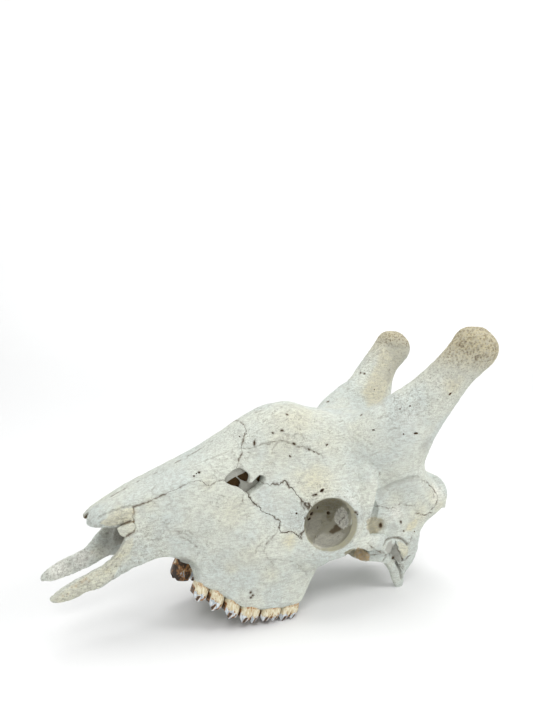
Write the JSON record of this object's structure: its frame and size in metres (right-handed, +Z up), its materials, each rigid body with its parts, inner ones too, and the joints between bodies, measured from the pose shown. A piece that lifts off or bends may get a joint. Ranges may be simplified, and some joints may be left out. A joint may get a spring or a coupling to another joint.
{
  "type": "giraffe skull",
  "caption": "Life-size giraffe skull without its lower jaw, with long ossicones, lying on its cheek teeth and the processes behind its ears.",
  "frame": {"origin": "centre of the bounding box on the floor that the skull rests on", "axes": "+X from the nose back to the nape, +Y towards the animal's right, +Z up; the nose is raised by the skull's own pitch at rest"},
  "size_m": [0.6598, 0.2506, 0.4332],
  "materials": {
    "bone": "dry, chalky, finely pitted bone, white to cream",
    "ossicone_bone": "dry porous bone, cream below and tan at the knobs, with dark pores"
  },
  "bodies": {
    "root": {"premaxilla_left": "bone", "premaxilla_right": "bone", "nasal_left": "bone", "nasal_right": "bone", "maxilla_left": "bone", "maxilla_right": "bone", "lacrimal_left": "bone", "lacrimal_right": "bone", "zygomatic_left": "bone", "zygomatic_right": "bone", "frontal": "bone", "braincase": "bone", "occipital": "bone", "ossicone_left": "ossicone_bone", "ossicone_right": "ossicone_bone"}
  },
  "joints": []
}
